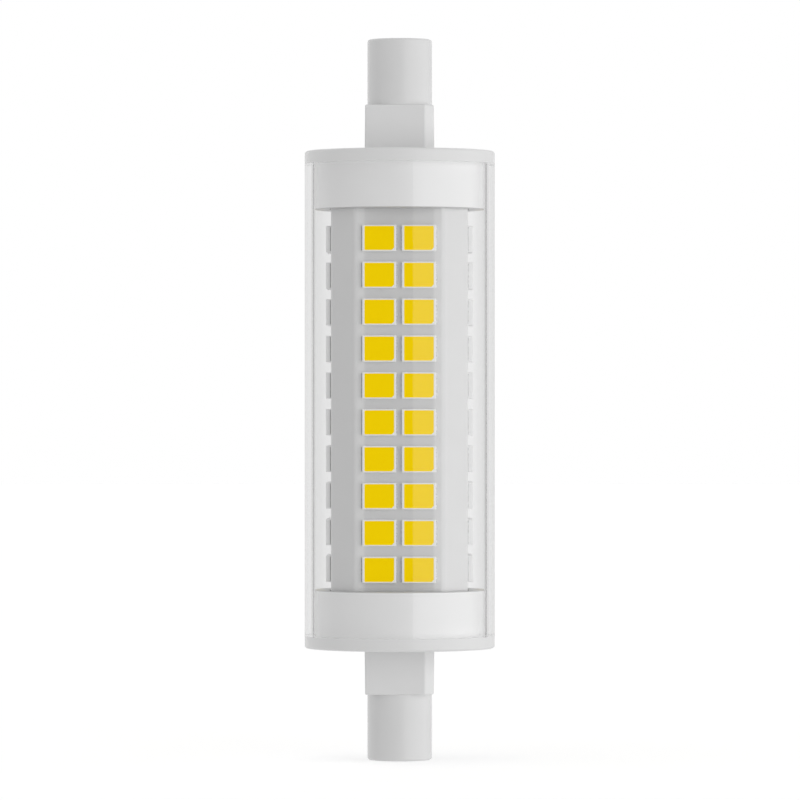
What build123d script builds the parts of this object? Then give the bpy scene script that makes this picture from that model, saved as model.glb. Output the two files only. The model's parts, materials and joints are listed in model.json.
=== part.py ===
from build123d import *
import os
from math import radians, sqrt, tan

# A double-ended linear LED lamp with a recessed contact at each end, in millimetres.
# The origin is the centre of the lower end face, +Z runs along the lamp and -Y is its front.

os.makedirs("parts", exist_ok=True)

# Whole lamp and clear tube
lamp_length = 78.0
tube_diameter = 20.6
tube_wall = 0.9
tube_edge_radius = 0.1

# Base pin, and the rivet contact at the bottom of its recess
pin_diameter = 7.0
pin_length = 7.2
pin_edge_radius = 0.3
recess_diameter = 3.6
contact_depth = 1.55
contact_diameter = 3.1
contact_thickness = 0.8
contact_edge_chamfer = 0.15
contact_clearance = 0.05
rivet_shank_diameter = 1.5
rivet_tail_diameter = 2.3
rivet_tail_thickness = 0.4
rivet_web = 2.0

# Shoulder block between the pin and the flange, with two opposite corners bevelled
shoulder_step = 0.25
shoulder_height = 4.9
shoulder_draft = 0.64
shoulder_bevel = 0.97
shoulder_corner_radius = 0.2
bevel_corner_radius = 0.4
shoulder_edge_radius = 0.15

# Flange flush with the tube, and the collar inside it
flange_thickness = 1.35
flange_edge_radius = 0.3
collar_height = 5.0
collar_wall = 0.4
collar_edge_radius = 0.1
collar_clearance = 0.15
socket_floor_rise = 0.5
wire_bore_diameter = 3.2

# White circuit sheet, folded into an eight-sided sleeve with an open seam
sheet_thickness = 0.6
sheet_corner_cut = 2.58
sheet_clearance = 0.1
bend_inner_radius = 0.2
fold_angle = 45.0
seam_gap = 0.3

# LED packages, in columns and rows on each wide face of the sleeve
led_length = 3.65
led_width = 2.83
led_height = 0.55
led_column_pitch = 4.236
led_row_pitch = 3.946
led_drop = 0.45
window_length = 3.13
window_width = 2.57
window_notch = 0.3
cup_depth = 0.3
cup_slope = 20.0

# Driver board behind the axis, held by a tongue in a slot of each cap
driver_offset = 2.8
driver_thickness = 1.0
driver_side_gap = 0.5
driver_end_gap = 1.0
tongue_width = 5.0
tongue_clearance = 0.1
slot_depth = 1.5

# Parts on the driver board, placed by their distance above the lamp's middle
package_standoff = 0.1
package_draft = 5.0
package_lead_width = 0.5
package_lead_thickness = 0.2
package_lead_reach = 0.9
rectifier_length = 4.7
rectifier_width = 3.9
rectifier_height = 2.3
rectifier_lead_pitch = 2.5
rectifier_place = -14.0
chip_length = 4.9
chip_width = 3.9
chip_height = 1.5
chip_lead_pitch = 1.27
chip_lead_rows = 4
chip_place = 6.0
resistor_length = 2.0
resistor_width = 1.25
resistor_height = 0.5
resistor_pitch = 2.2
resistor_count = 3
resistor_place = 13.0
part_seat_gap = 0.1
part_lead_diameter = 0.6
part_lead_bend_radius = 0.6
capacitor_diameter = 6.3
capacitor_length = 11.0
capacitor_edge_radius = 0.4
capacitor_groove_depth = 0.3
capacitor_groove_width = 0.6
capacitor_groove_place = 1.4
capacitor_lead_pitch = 2.5
capacitor_lead_run = 1.6
capacitor_place = -1.0
fuse_diameter = 2.4
fuse_waist_diameter = 2.1
fuse_length = 6.5
fuse_cap_length = 1.3
fuse_edge_radius = 0.1
fuse_lead_run = 1.6
fuse_side = 3.6
fuse_place = -14.0

# Wires
lead_wire_diameter = 0.8
lead_wire_bend_radius = 1.2
lead_wire_rise = 2.4
link_diameter = 0.7
link_side_gap = 3.2
link_end_gap = 5.0

# Places and sizes that follow from those above
middle = lamp_length / 2
middle_plane = Plane.XY.offset(middle)
flange_base = pin_length + shoulder_height
tube_base = flange_base + flange_thickness
tube_length = lamp_length - 2 * tube_base
tube_bore = tube_diameter - 2 * tube_wall
collar_diameter = tube_bore - 2 * collar_clearance
collar_top = tube_base + collar_height
shoulder_width = pin_diameter + 2 * shoulder_step
rivet_head_base = contact_depth + contact_thickness
rivet_tail_base = rivet_head_base + rivet_web
rivet_top = rivet_tail_base + rivet_tail_thickness
socket_floor = tube_base + socket_floor_rise
socket_depth = collar_top - socket_floor
bend_outer_radius = bend_inner_radius + sheet_thickness
sheet_corner_reach = collar_diameter / 2 - collar_wall - sheet_clearance
sheet_width = sheet_corner_cut + sqrt(2 * sheet_corner_reach**2 - sheet_corner_cut**2)
sheet_inner_half = sheet_width / 2 - sheet_thickness
sheet_base = socket_floor + sheet_clearance
sheet_length = lamp_length - 2 * sheet_base
wide_face = sheet_width - 2 * sheet_corner_cut
flat_width = wide_face - 2 * bend_outer_radius * tan(radians(fold_angle / 2))
led_columns = int(flat_width // led_column_pitch)
led_rows = int((lamp_length - 2 * collar_top) // led_row_pitch)
led_centre = middle - led_drop
driver_front = driver_offset - driver_thickness / 2
driver_rear = driver_offset + driver_thickness / 2
driver_width = 2 * (sheet_inner_half - driver_side_gap)
driver_length = lamp_length - 2 * (socket_floor + driver_end_gap)
tongue_length = lamp_length - 2 * (socket_floor - slot_depth + tongue_clearance)
link_pitch = driver_width - 2 * link_side_gap
link_place = driver_length / 2 - link_end_gap
rear_face_plane = Plane((0, driver_rear, middle), x_dir=(-1, 0, 0), z_dir=(0, 1, 0))
front_right = Axis((0, 0, 0), (1, -1, 0))

# Clear tube, standing on one flange and closed by the other
with BuildPart() as clear_tube:
    with BuildSketch(Plane.XY.offset(tube_base)):
        Circle(tube_diameter / 2)
        Circle(tube_bore / 2, mode=Mode.SUBTRACT)
    extrude(amount=tube_length)
    fillet(clear_tube.edges().filter_by(GeomType.CIRCLE), tube_edge_radius)
clear_tube.part.label = "clear_tube"
export_step(clear_tube.part, "parts/clear_tube.step")

# Section of the folded sheet: a square with its corners folded off, the bends rounded
with BuildSketch() as sleeve_outline:
    Rectangle(sheet_width, sheet_width)
    chamfer(sleeve_outline.vertices(), sheet_corner_cut)
    fillet(sleeve_outline.vertices(), bend_outer_radius)

# Lower end cap, moulded in one: flange, collar, shoulder block and pin, then its hollows
with BuildPart() as lower_end_cap:
    with BuildSketch(Plane.XY.offset(flange_base)):
        Circle(tube_diameter / 2)
    extrude(amount=flange_thickness)
    fillet(lower_end_cap.edges().group_by(Axis.Z)[0], flange_edge_radius)
    with BuildSketch(Plane.XY.offset(tube_base)):
        Circle(collar_diameter / 2)
    extrude(amount=collar_height)
    fillet(lower_end_cap.edges().group_by(Axis.Z)[-1], collar_edge_radius)
    with BuildSketch(Plane.XY.offset(flange_base)) as shoulder_outline:
        Rectangle(shoulder_width, shoulder_width)
        corners = shoulder_outline.vertices().sort_by(front_right)
        fillet(corners[1:3], shoulder_corner_radius)
        corners = shoulder_outline.vertices().sort_by(front_right)
        chamfer([corners[0], corners[-1]], shoulder_bevel)
        corners = shoulder_outline.vertices().sort_by(front_right)
        fillet(corners[:2] + corners[-2:], bevel_corner_radius)
    extrude(amount=-shoulder_height, taper=shoulder_draft)
    fillet(lower_end_cap.edges().group_by(Axis.Z)[0], shoulder_edge_radius)
    with BuildSketch(Plane.XY.offset(pin_length)):
        Circle(pin_diameter / 2)
    extrude(amount=-pin_length)
    fillet(lower_end_cap.edges().group_by(Axis.Z)[0], pin_edge_radius)
    with BuildSketch():
        Circle(recess_diameter / 2)
    extrude(amount=contact_depth, mode=Mode.SUBTRACT)
    with BuildSketch(Plane.XY.offset(contact_depth)):
        Circle(contact_diameter / 2 + contact_clearance)
    extrude(amount=contact_thickness, mode=Mode.SUBTRACT)
    with BuildSketch(Plane.XY.offset(rivet_head_base)):
        Circle(rivet_shank_diameter / 2 + contact_clearance)
    extrude(amount=rivet_web, mode=Mode.SUBTRACT)
    with BuildSketch(Plane.XY.offset(rivet_tail_base)):
        Circle(wire_bore_diameter / 2)
    extrude(amount=socket_floor - rivet_tail_base, mode=Mode.SUBTRACT)
    with BuildSketch(Plane.XY.offset(socket_floor)):
        add(sleeve_outline.sketch)
        offset(amount=sheet_clearance)
    extrude(amount=socket_depth, mode=Mode.SUBTRACT)
    with BuildSketch(Plane.XY.offset(socket_floor)):
        with Locations((0, driver_offset)):
            Rectangle(tongue_width + 2 * tongue_clearance, driver_thickness + 2 * tongue_clearance)
    extrude(amount=-slot_depth, mode=Mode.SUBTRACT)
lower_end_cap.part.label = "lower_end_cap"
export_step(lower_end_cap.part, "parts/lower_end_cap.step")

with BuildPart() as upper_end_cap:
    mirror(lower_end_cap.part, about=middle_plane)
upper_end_cap.part.label = "upper_end_cap"
export_step(upper_end_cap.part, "parts/upper_end_cap.step")

# Contact: a rivet whose head closes the recess and whose tail is spread over the web
with BuildPart() as lower_contact:
    with BuildSketch(Plane.XY.offset(contact_depth)):
        Circle(contact_diameter / 2)
    extrude(amount=contact_thickness)
    chamfer(lower_contact.edges().group_by(Axis.Z)[0], contact_edge_chamfer)
    with BuildSketch(Plane.XY.offset(rivet_head_base)):
        Circle(rivet_shank_diameter / 2)
    extrude(amount=rivet_web)
    with BuildSketch(Plane.XY.offset(rivet_tail_base)):
        Circle(rivet_tail_diameter / 2)
    extrude(amount=rivet_tail_thickness)
lower_contact.part.label = "lower_contact"
export_step(lower_contact.part, "parts/lower_contact.step")

with BuildPart() as upper_contact:
    mirror(lower_contact.part, about=middle_plane)
upper_contact.part.label = "upper_contact"
export_step(upper_contact.part, "parts/upper_contact.step")

# LED sheet: the sleeve runs from socket to socket, and its seam is on a rear narrow face
with BuildPart() as led_board:
    with BuildSketch(Plane.XY.offset(sheet_base)):
        add(sleeve_outline.sketch)
        offset(amount=-sheet_thickness, mode=Mode.SUBTRACT)
        with Locations(Location((0, 0, 0), (0, 0, fold_angle))):
            with Locations((sheet_width / 2, 0)):
                Rectangle(sheet_width, seam_gap, mode=Mode.SUBTRACT)
    extrude(amount=sheet_length)
led_board.part.label = "led_board"
export_step(led_board.part, "parts/led_board.step")

# One LED facing +Z: the phosphor with its polarity corner cut off, and the package around it
with BuildPart() as phosphor_fill:
    with BuildSketch(Plane.XY.offset(led_height)) as window_outline:
        Rectangle(window_length, window_width)
        notch_corner = window_outline.vertices().sort_by(front_right)[-1]
        chamfer(notch_corner, window_notch)
    extrude(amount=-cup_depth, taper=cup_slope)

with BuildPart() as led_package:
    with BuildSketch():
        Rectangle(led_length, led_width)
    extrude(amount=led_height)
    add(phosphor_fill.part, mode=Mode.SUBTRACT)

# LED packages and their phosphor on each wide face, turned about the lamp's axis
side_turns = {"front": 0, "right": 90, "rear": 180, "left": 270}
for side, turn in side_turns.items():
    across = Vector(1, 0, 0).rotate(Axis.Z, turn)
    outward = Vector(0, -1, 0).rotate(Axis.Z, turn)
    face_plane = Plane((0, 0, led_centre), x_dir=across, z_dir=outward).offset(sheet_width / 2)

    with BuildPart(face_plane) as led_housings:
        with GridLocations(led_column_pitch, led_row_pitch, led_columns, led_rows):
            add(led_package.part)
    led_housings.part.label = f"{side}_led_housings"
    export_step(led_housings.part, f"parts/{side}_led_housings.step")

    with BuildPart(face_plane) as led_phosphor:
        with GridLocations(led_column_pitch, led_row_pitch, led_columns, led_rows):
            add(phosphor_fill.part)
    led_phosphor.part.label = f"{side}_led_phosphor"
    export_step(led_phosphor.part, f"parts/{side}_led_phosphor.step")

# Driver board with a tongue at each end
with BuildPart() as driver_board:
    with BuildSketch(Plane.XZ.offset(-driver_front)):
        with Locations((0, middle)):
            Rectangle(driver_width, driver_length)
            Rectangle(tongue_width, tongue_length)
    extrude(amount=-driver_thickness)
driver_board.part.label = "driver_board"
export_step(driver_board.part, "parts/driver_board.step")


# Cross-section of one bent lead, from a package's side down to its foot on the board
def lead_section(body_width, shoulder_level, place):
    knee = body_width / 2 + package_lead_reach / 3
    toe = body_width / 2 + package_lead_reach
    foot_level = package_lead_thickness / 2
    section_plane = Plane((0, driver_rear, place), x_dir=(-1, 0, 0), z_dir=(0, 0, -1))
    with BuildSketch(section_plane) as section:
        with BuildLine():
            Polyline((0, shoulder_level), (knee, shoulder_level), (knee, foot_level), (toe, foot_level))
        trace(line_width=package_lead_thickness)
        mirror(about=Plane.YZ)
    return section.sketch


# Bridge rectifier on the rear of the driver board
with BuildPart() as bridge_rectifier:
    with BuildSketch(rear_face_plane.offset(package_standoff)):
        with Locations((0, rectifier_place)):
            Rectangle(rectifier_width, rectifier_length)
    extrude(amount=rectifier_height, taper=package_draft)
    for step in (-1, 1):
        lead_place = middle + rectifier_place + step * rectifier_lead_pitch / 2
        section = lead_section(rectifier_width, rectifier_height / 2, lead_place)
        extrude(section, amount=package_lead_width / 2, both=True)
bridge_rectifier.part.label = "bridge_rectifier"
export_step(bridge_rectifier.part, "parts/bridge_rectifier.step")

# Driver chip on the rear of the driver board
with BuildPart() as driver_chip:
    with BuildSketch(rear_face_plane.offset(package_standoff)):
        with Locations((0, chip_place)):
            Rectangle(chip_width, chip_length)
    extrude(amount=chip_height, taper=package_draft)
    for row in range(chip_lead_rows):
        lead_place = middle + chip_place + (row - (chip_lead_rows - 1) / 2) * chip_lead_pitch
        section = lead_section(chip_width, chip_height / 2, lead_place)
        extrude(section, amount=package_lead_width / 2, both=True)
driver_chip.part.label = "driver_chip"
export_step(driver_chip.part, "parts/driver_chip.step")

# Sense resistors, flat on the rear of the driver board
with BuildPart() as sense_resistors:
    with BuildSketch(rear_face_plane):
        with Locations((0, resistor_place)):
            with GridLocations(0, resistor_pitch, 1, resistor_count):
                Rectangle(resistor_length, resistor_width)
    extrude(amount=resistor_height)
sense_resistors.part.label = "sense_resistors"
export_step(sense_resistors.part, "parts/sense_resistors.step")

# Smoothing capacitor, lying on the front of the driver board with its leads bent down to it
capacitor_axis_y = driver_front - part_seat_gap - capacitor_diameter / 2
capacitor_base = middle + capacitor_place - capacitor_length / 2
capacitor_top = capacitor_base + capacitor_length
groove_base = capacitor_base + capacitor_groove_place
groove_top = groove_base + capacitor_groove_width
capacitor_radius = capacitor_diameter / 2
with BuildPart() as smoothing_capacitor:
    with BuildSketch(Plane.XZ.offset(-capacitor_axis_y)) as can_section:
        with Locations((capacitor_radius / 2, middle + capacitor_place)):
            Rectangle(capacitor_radius, capacitor_length)
        can_rim = can_section.vertices().group_by(Axis.X)[-1]
        fillet(can_rim, capacitor_edge_radius)
        with BuildLine():
            groove_mouth = Line((capacitor_radius, groove_base), (capacitor_radius, groove_top))
            ThreePointArc(
                groove_mouth @ 0,
                (capacitor_radius - capacitor_groove_depth, (groove_base + groove_top) / 2),
                groove_mouth @ 1,
            )
        make_face(mode=Mode.SUBTRACT)
    revolve(axis=Axis((0, capacitor_axis_y, 0), (0, 0, 1)))
    for lead_x in (-capacitor_lead_pitch / 2, capacitor_lead_pitch / 2):
        with BuildLine() as lead_path:
            FilletPolyline(
                (lead_x, capacitor_axis_y, capacitor_base + part_lead_bend_radius),
                (lead_x, capacitor_axis_y, capacitor_base - capacitor_lead_run),
                (lead_x, driver_front, capacitor_base - capacitor_lead_run),
                radius=part_lead_bend_radius,
            )
        with BuildSketch(Plane(lead_path.line @ 0, z_dir=lead_path.line % 0)):
            Circle(part_lead_diameter / 2)
        sweep(path=lead_path.line)
smoothing_capacitor.part.label = "smoothing_capacitor"
export_step(smoothing_capacitor.part, "parts/smoothing_capacitor.step")

# Fusible resistor: a waisted body with an end cap and a bent lead at each end
fuse_axis_y = driver_front - part_seat_gap - fuse_diameter / 2
fuse_middle = middle + fuse_place
with BuildPart() as fusible_resistor:
    with BuildSketch(Plane.XZ.offset(-fuse_axis_y)) as fuse_section:
        with Locations((fuse_side + fuse_waist_diameter / 4, fuse_middle)):
            Rectangle(fuse_waist_diameter / 2, fuse_length)
        with Locations((fuse_side + fuse_diameter / 4, fuse_middle)):
            with GridLocations(0, fuse_length - fuse_cap_length, 1, 2):
                Rectangle(fuse_diameter / 2, fuse_cap_length)
        fillet(fuse_section.vertices().group_by(Axis.X)[-1], fuse_edge_radius)
    revolve(axis=Axis((fuse_side, fuse_axis_y, 0), (0, 0, 1)))
    for end in (-1, 1):
        lead_turn_z = fuse_middle + end * (fuse_length / 2 + fuse_lead_run)
        with BuildLine() as lead_path:
            FilletPolyline(
                (fuse_side, fuse_axis_y, fuse_middle + end * fuse_length / 4),
                (fuse_side, fuse_axis_y, lead_turn_z),
                (fuse_side, driver_front, lead_turn_z),
                radius=part_lead_bend_radius,
            )
        with BuildSketch(Plane(lead_path.line @ 0, z_dir=lead_path.line % 0)):
            Circle(part_lead_diameter / 2)
        sweep(path=lead_path.line)
fusible_resistor.part.label = "fusible_resistor"
export_step(fusible_resistor.part, "parts/fusible_resistor.step")

# Lead wire from the rivet's tail, through the cap's bore, to the driver board
lead_wire_turn = socket_floor + lead_wire_rise
with BuildPart() as lower_lead_wire:
    with BuildLine() as wire_path:
        FilletPolyline(
            (0, 0, rivet_top),
            (0, 0, lead_wire_turn),
            (0, driver_front, lead_wire_turn),
            radius=lead_wire_bend_radius,
        )
    with BuildSketch(Plane(wire_path.line @ 0, z_dir=wire_path.line % 0)):
        Circle(lead_wire_diameter / 2)
    sweep(path=wire_path.line)
lower_lead_wire.part.label = "lower_lead_wire"
export_step(lower_lead_wire.part, "parts/lower_lead_wire.step")

with BuildPart() as upper_lead_wire:
    mirror(lower_lead_wire.part, about=middle_plane)
upper_lead_wire.part.label = "upper_lead_wire"
export_step(upper_lead_wire.part, "parts/upper_lead_wire.step")

# Feed links from the rear of the driver board to the inside of the LED sheet
with BuildPart() as led_feed_links:
    with BuildSketch(rear_face_plane):
        with Locations((0, link_place)):
            with GridLocations(link_pitch, 0, 2, 1):
                Circle(link_diameter / 2)
    extrude(amount=sheet_inner_half - driver_rear)
led_feed_links.part.label = "led_feed_links"
export_step(led_feed_links.part, "parts/led_feed_links.step")
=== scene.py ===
import json
import math

import bmesh
import bpy
from mathutils import Matrix, Vector


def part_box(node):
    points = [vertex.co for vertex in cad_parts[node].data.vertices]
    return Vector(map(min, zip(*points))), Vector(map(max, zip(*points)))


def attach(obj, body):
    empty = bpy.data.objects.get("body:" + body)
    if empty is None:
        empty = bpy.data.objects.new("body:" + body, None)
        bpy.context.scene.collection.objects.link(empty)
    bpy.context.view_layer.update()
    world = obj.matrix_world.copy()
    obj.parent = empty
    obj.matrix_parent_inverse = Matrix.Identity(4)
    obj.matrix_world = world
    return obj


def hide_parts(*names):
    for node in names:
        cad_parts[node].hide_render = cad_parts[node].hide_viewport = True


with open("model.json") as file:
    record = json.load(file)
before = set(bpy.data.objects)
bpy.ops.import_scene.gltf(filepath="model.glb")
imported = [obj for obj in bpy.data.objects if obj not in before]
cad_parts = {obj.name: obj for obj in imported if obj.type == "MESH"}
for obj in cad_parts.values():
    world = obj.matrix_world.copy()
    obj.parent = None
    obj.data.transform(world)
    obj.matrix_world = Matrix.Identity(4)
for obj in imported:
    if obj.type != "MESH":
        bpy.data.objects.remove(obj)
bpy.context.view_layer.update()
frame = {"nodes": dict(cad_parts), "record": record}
cadNodes = frame["nodes"]
mm = 0.001  # sizes below are in millimetres, meshes in metres
samePlace = 1e-7  # points closer than this become one, in metres
sameAngle = 0.002  # and so do the directions of a ring's points, in radians
cutGrowth = 2 - math.sqrt(2)  # how much a cut corner grows when its outline moves out by one
print("frame loaded with", len(cadNodes), "nodes")


def nodeBox(name):
    low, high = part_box(name)
    return Vector(low) / mm, Vector(high) / mm


lampLength = nodeBox("upper_end_cap")[1].z
tubeLow, tubeHigh = nodeBox("clear_tube")
capTop = nodeBox("lower_end_cap")[1].z
sleeveLow, sleeveHigh = nodeBox("led_board")
ledLow, ledHigh = nodeBox("front_led_housings")


# Outlines, rings and skins

roundingSizes = {
    "stepAngle": 7.5,  # of an arc, in degrees
    "stepSlack": 0.01,  # of a step, so that rounding adds none
    "edgeSlack": 1e-4,  # of an edge, so that no direction falls between two
    "parallel": 1e-12,
    "sharpAngle": 20.0,  # faces that meet at more than this keep a sharp edge
}


def roundCorners(corners, closed, stepAngle=roundingSizes["stepAngle"], hold=0.0):
    # corners are (across, along, radius); hold keeps the shading of a straight run flat next to an arc
    points = []
    last = len(corners) - 1
    for i, (across, along, radius) in enumerate(corners):
        here = Vector((across, along))
        if radius <= 0 or (not closed and i in (0, last)):
            points.append(here)
            continue
        back = (Vector(corners[i - 1][:2]) - here).normalized()
        ahead = (Vector(corners[(i + 1) % len(corners)][:2]) - here).normalized()
        half = back.angle(ahead) / 2
        reach = radius / math.tan(half)
        centre = here + (back + ahead).normalized() * radius / math.sin(half)
        start = here + back * reach - centre
        turn = -math.copysign(math.pi - 2 * half, back.cross(ahead))
        steps = max(2, math.ceil(abs(math.degrees(turn)) / stepAngle - roundingSizes["stepSlack"]))
        if hold:
            points.append(here + back * (reach + hold))
        for k in range(steps + 1):
            points.append(centre + Matrix.Rotation(turn * k / steps, 2) @ start)
        if hold:
            points.append(here + ahead * (reach + hold))
    return points


def reachAt(outline, angle):
    # distance from the axis to a closed outline in one direction
    ahead = Vector((math.cos(angle), math.sin(angle)))
    slack = roundingSizes["edgeSlack"]
    for here, there in zip(outline, outline[1:] + outline[:1]):
        edge = there - here
        spread = ahead.cross(edge)
        if abs(spread) < roundingSizes["parallel"]:
            continue
        along = here.cross(edge) / spread
        share = here.cross(ahead) / spread
        if along > 0 and -slack <= share <= 1 + slack:
            return along
    raise ValueError("the outline doesn't go round the axis")


def ringAngles(count, *outlines):
    # even steps, plus every point that an outline needs for its own corners
    angles = [2 * math.pi * k / count for k in range(count)]
    for outline in outlines:
        angles += [math.atan2(p.y, p.x) % (2 * math.pi) for p in outline]
    kept = []
    for angle in sorted(angles):
        if not kept or angle - kept[-1] > sameAngle:
            kept.append(angle)
    if kept[0] + 2 * math.pi - kept[-1] < sameAngle:
        kept.pop()
    return kept


def circleRing(radius, height, angles):
    return [Vector((radius * math.cos(a), radius * math.sin(a), height)) for a in angles]


def outlineRing(outline, height, angles):
    ring = []
    for a in angles:
        reach = reachAt(outline, a)
        ring.append(Vector((reach * math.cos(a), reach * math.sin(a), height)))
    return ring


def skinRings(name, rings, closed=False, sharpAngle=roundingSizes["sharpAngle"]):
    # a ring of no width becomes one pole; open ends that have width get a flat face
    bm = bmesh.new()
    loops = []
    for ring in rings:
        narrow = max(p.xy.length for p in ring) * mm < samePlace
        points = ring[:1] if narrow else ring
        loops.append([bm.verts.new(p * mm) for p in points])
    pairs = list(zip(loops, loops[1:]))
    if closed:
        pairs.append((loops[-1], loops[0]))
    for near, far in pairs:
        count = max(len(near), len(far))
        for i in range(count):
            j = (i + 1) % count
            corners = [near[i % len(near)], near[j % len(near)], far[j % len(far)], far[i % len(far)]]
            bm.faces.new(list(dict.fromkeys(corners)))
    if not closed:
        for loop in (loops[0], loops[-1]):
            if len(loop) > 2:
                bm.faces.new(loop)
    return finishMesh(name, bm, sharpAngle)


def wallFaces(bm, low, high):
    # a wall between two loops of the same length
    for i in range(len(low)):
        j = (i + 1) % len(low)
        bm.faces.new((low[i], low[j], high[j], high[i]))


def finishMesh(name, bm, sharpAngle=roundingSizes["sharpAngle"]):
    bmesh.ops.recalc_face_normals(bm, faces=bm.faces)
    mesh = bpy.data.meshes.new(name)
    bm.to_mesh(mesh)
    bm.free()
    for polygon in mesh.polygons:
        polygon.use_smooth = True
    mesh.set_sharp_from_angle(angle=math.radians(sharpAngle))
    return mesh


def newObject(name, data):
    made = bpy.data.objects.new(name, data)
    bpy.context.scene.collection.objects.link(made)
    return made


def placePiece(name, mesh, slotName, *replacedNodes, finish=None):
    mesh.name = name
    mesh.materials.clear()
    mesh.materials.append(finishes[finish or slotName])
    piece = newObject(name, mesh)
    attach(piece, "root")
    if replacedNodes:
        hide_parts(*replacedNodes)
    return piece


def plainMesh(worker):
    # the evaluated result of an object's modifiers, as a mesh of its own
    bpy.context.view_layer.update()
    evaluated = worker.evaluated_get(bpy.context.evaluated_depsgraph_get())
    mesh = bpy.data.meshes.new_from_object(evaluated)
    worker.modifiers.clear()
    bpy.data.objects.remove(worker)
    return mesh


# Node helpers

cloudSpan = (0.3, 0.7)  # most of a cloud noise lies between these
cloudDetail = {"colour": 3.0, "bump": 2.0}
mixSockets = {"factor": 0, "first": 6, "second": 7, "result": 2}  # of a Mix node set to colours


def startMaterial(name):
    material = bpy.data.materials.new(name)
    material.use_nodes = True
    tree = material.node_tree
    tree.nodes.clear()
    shader = tree.nodes.new("ShaderNodeBsdfPrincipled")
    output = tree.nodes.new("ShaderNodeOutputMaterial")
    tree.links.new(shader.outputs["BSDF"], output.inputs["Surface"])
    place = tree.nodes.new("ShaderNodeTexCoord")
    return material, tree, shader, place.outputs["Object"]


def grey(level):
    return (level, level, level)


def setOrJoin(tree, value, socket):
    # a plain number is set, anything else is linked
    if isinstance(value, (int, float)):
        socket.default_value = value
    else:
        tree.links.new(value, socket)


def calc(tree, operation, *values):
    node = tree.nodes.new("ShaderNodeMath")
    node.operation = operation
    for socket, value in zip(node.inputs, values):
        setOrJoin(tree, value, socket)
    return node.outputs[0]


def product(tree, first, *others):
    for other in others:
        first = calc(tree, "MULTIPLY", first, other)
    return first


def fade(tree, value, start, end, low=0.0, high=1.0, smooth=True):
    # goes from low to high as the value goes from start to end
    node = tree.nodes.new("ShaderNodeMapRange")
    if smooth:
        node.interpolation_type = "SMOOTHSTEP"
    node.inputs["From Min"].default_value = start
    node.inputs["From Max"].default_value = end
    setOrJoin(tree, low, node.inputs["To Min"])
    setOrJoin(tree, high, node.inputs["To Max"])
    tree.links.new(value, node.inputs["Value"])
    return node.outputs["Result"]


def blend(tree, factor, first, second, kind="MIX"):
    # two colours, where a plain number stands for a grey
    node = tree.nodes.new("ShaderNodeMix")
    node.data_type = "RGBA"
    node.blend_type = kind
    setOrJoin(tree, factor, node.inputs[mixSockets["factor"]])
    for name, value in (("first", first), ("second", second)):
        socket = node.inputs[mixSockets[name]]
        if isinstance(value, float):
            socket.default_value = (*grey(value), 1)
        else:
            tree.links.new(value, socket)
    return node.outputs[mixSockets["result"]]


def split(tree, vector):
    node = tree.nodes.new("ShaderNodeSeparateXYZ")
    tree.links.new(vector, node.inputs["Vector"])
    return node.outputs


def cloudNoise(tree, place, grain, detail=cloudDetail["colour"]):
    # grain is the size of one blotch
    noise = tree.nodes.new("ShaderNodeTexNoise")
    noise.inputs["Scale"].default_value = 1 / (grain * mm)
    noise.inputs["Detail"].default_value = detail
    tree.links.new(place, noise.inputs["Vector"])
    return noise.outputs["Fac"]


def mottle(tree, factor, dark, light):
    ramp = tree.nodes.new("ShaderNodeValToRGB")
    for element, position, colour in zip(ramp.color_ramp.elements, cloudSpan, (dark, light)):
        element.position = position
        element.color = (*colour, 1)
    tree.links.new(factor, ramp.inputs["Fac"])
    return ramp.outputs["Color"]


def axisDistance(tree, place):
    # how far a point is from the lamp's axis
    level = tree.nodes.new("ShaderNodeVectorMath")
    level.operation = "MULTIPLY"
    level.inputs[1].default_value = (1, 1, 0)
    tree.links.new(place, level.inputs[0])
    reach = tree.nodes.new("ShaderNodeVectorMath")
    reach.operation = "LENGTH"
    tree.links.new(level.outputs["Vector"], reach.inputs[0])
    return reach.outputs["Value"]


def mixToOutput(tree, factor, first, second):
    choice = tree.nodes.new("ShaderNodeMixShader")
    for socket, source in zip(choice.inputs, (factor, first, second)):
        tree.links.new(source, socket)
    output = next(n for n in tree.nodes if n.type == "OUTPUT_MATERIAL")
    tree.links.new(choice.outputs["Shader"], output.inputs["Surface"])


# What finishes share: blotches of colour, patches of gloss, a fine bump and zones of white


def blotchColour(tree, place, shader, look):
    blotches = cloudNoise(tree, place, look["blotch"])
    tree.links.new(mottle(tree, blotches, look["dark"], look["light"]), shader.inputs["Base Color"])


def patchGloss(tree, place, shader, look):
    patches = cloudNoise(tree, place, look["patch"])
    gloss = fade(tree, patches, *cloudSpan, *look["rough"], smooth=False)
    tree.links.new(gloss, shader.inputs["Roughness"])


def bumpFrom(tree, height, shader, depth):
    bump = tree.nodes.new("ShaderNodeBump")
    bump.inputs["Distance"].default_value = depth * mm
    bump.inputs["Strength"].default_value = 1
    tree.links.new(height, bump.inputs["Height"])
    tree.links.new(bump.outputs["Normal"], shader.inputs["Normal"])


def grainBump(tree, place, shader, look):
    bumpFrom(tree, cloudNoise(tree, place, look["grain"], cloudDetail["bump"]), shader, look["bump"])


def zoneWhites(tree, place, shader, look, measure, white, borders):
    # a white that changes at each border as the measure grows, under faint clouds
    for start, end, nextWhite in borders:
        white = fade(tree, measure, start * mm, end * mm, white, nextWhite, smooth=False)
    darkest, lightest = look["clouding"]
    clouds = mottle(tree, cloudNoise(tree, place, look["blotch"]), grey(darkest), grey(lightest))
    tree.links.new(blend(tree, 1, white, clouds, "MULTIPLY"), shader.inputs["Base Color"])


# Finishes

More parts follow.
